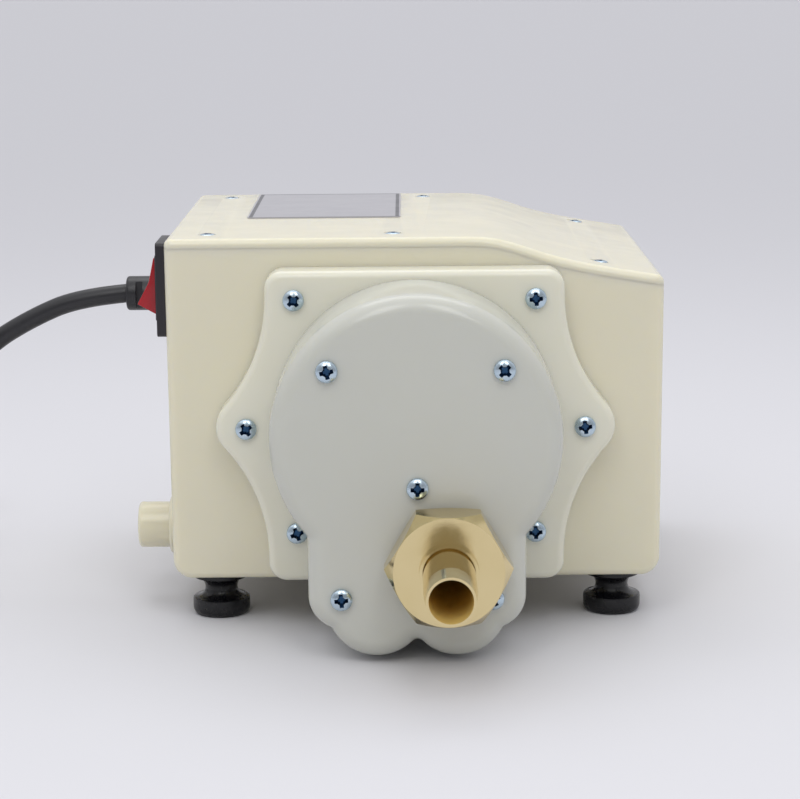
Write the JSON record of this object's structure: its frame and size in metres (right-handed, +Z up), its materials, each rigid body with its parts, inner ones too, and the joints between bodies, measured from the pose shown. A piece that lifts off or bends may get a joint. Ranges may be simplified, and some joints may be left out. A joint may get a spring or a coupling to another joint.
{
  "type": "gas booster pump",
  "caption": "Mains-powered diaphragm booster pump for low-pressure gas, in a cream casing with a round-fronted head, brass outlet and rocker switch.",
  "frame": {"origin": "under the middle of the pump without its mains lead, on the surface that it stands on", "axes": "+X to the pump's right seen from the outlet side, +Y from the outlet to the rear, +Z up"},
  "size_m": [0.3487, 0.2901, 0.131],
  "materials": {
    "casing": "cream moulded ABS, fine satin",
    "head": "off-white moulded plastic, semi-gloss",
    "brass": "turned, bright",
    "zinc_screws": "blue zinc plate",
    "rating_plate": "printed foil, bare",
    "feet": "moulded, satin",
    "elastomer": "nitrile, matt",
    "fibre": "pressed fibre",
    "valve_pin": "acetal",
    "alloy": "die cast",
    "steel": "ground",
    "lamination": "stamped sheets",
    "bronze": "sintered",
    "bobbin": "moulded nylon",
    "winding": "enamelled copper",
    "hose": "silicone",
    "switch_black": "moulded nylon",
    "rocker_red": "moulded, glossy",
    "cable": "flexible PVC, satin"
  },
  "bodies": {
    "root": {"housing": "casing", "housing_lid": "casing", "inlet_port": "casing", "front_plate": "head", "head_cover": "head", "outlet_nozzle": "brass", "lid_screws": "zinc_screws", "plate_screws": "zinc_screws", "cover_screws": "zinc_screws", "foot_screws": "zinc_screws", "motor_tie_screws": "zinc_screws", "motor_tie_nuts": "zinc_screws", "motor_foot_screws": "zinc_screws", "inlet_retaining_ring": "zinc_screws", "hose_clips": "zinc_screws", "rating_plate": "rating_plate", "foot_front_left": "feet", "foot_rear_left": "feet", "foot_front_right": "feet", "foot_rear_right": "feet", "cover_gasket": "elastomer", "diaphragm": "elastomer", "nozzle_seal": "fibre", "inlet_valve_guide": "valve_pin", "outlet_valve_guide": "valve_pin", "motor_bracket_left": "alloy", "motor_bracket_right": "alloy", "switch_terminals": "steel", "coil_terminals": "steel", "plug_pins": "steel", "stator_core": "lamination", "bearing_bush_left": "bronze", "bearing_bush_right": "bronze", "coil_bobbin": "bobbin", "head_spigot": "bobbin", "stator_coil": "winding", "inlet_hose": "hose", "switch_frame": "switch_black", "strain_relief": "cable", "power_cord": "cable", "cord_coil": "cable", "plug_lead": "cable", "plug_body": "cable", "live_wire": "cable", "switched_wire": "cable", "neutral_wire": "cable"},
    "rotor": {"motor_shaft": "steel", "rotor": "lamination", "eccentric_hub": "steel", "bearing_washer": "zinc_screws", "washer_screw": "zinc_screws", "cooling_fan": "bobbin"},
    "rod": {"connecting_rod": "alloy", "rod_bearing": "steel", "diaphragm_disc_front": "alloy", "diaphragm_disc_rear": "alloy", "diaphragm_screw": "zinc_screws"},
    "inlet_valve": {"inlet_valve_disc": "elastomer"},
    "outlet_valve": {"outlet_valve_disc": "elastomer"},
    "rocker": {"switch_rocker": "rocker_red"}
  },
  "joints": [
    {"name": "motor_spin", "type": "hinge", "parent": "root", "child": "rotor", "pos_m": [0.00725, 0.025, 0.074], "axis": [1, 0, 0], "continuous": true, "deforming": ["diaphragm"]},
    {"name": "rod_turn", "type": "hinge", "parent": "rotor", "child": "rod", "pos_m": [0.00725, 0.025, 0.072], "axis": [1, 0, 0], "continuous": true},
    {"name": "inlet_valve_lift", "type": "slide", "parent": "root", "child": "inlet_valve", "axis": [0, 1, 0], "range_m": [0, 0.0011]},
    {"name": "outlet_valve_lift", "type": "slide", "parent": "root", "child": "outlet_valve", "axis": [0, -1, 0], "range_m": [0, 0.0011]},
    {"name": "rocker_tilt", "type": "hinge", "parent": "root", "child": "rocker", "pos_m": [-0.07605, -0.0085, 0.1134], "axis": [0, -1, 0], "range_deg": [0, 40]}
  ],
  "couplings": [
    {"joint": "rod_turn", "follows": "motor_spin", "ratio": -1}
  ]
}
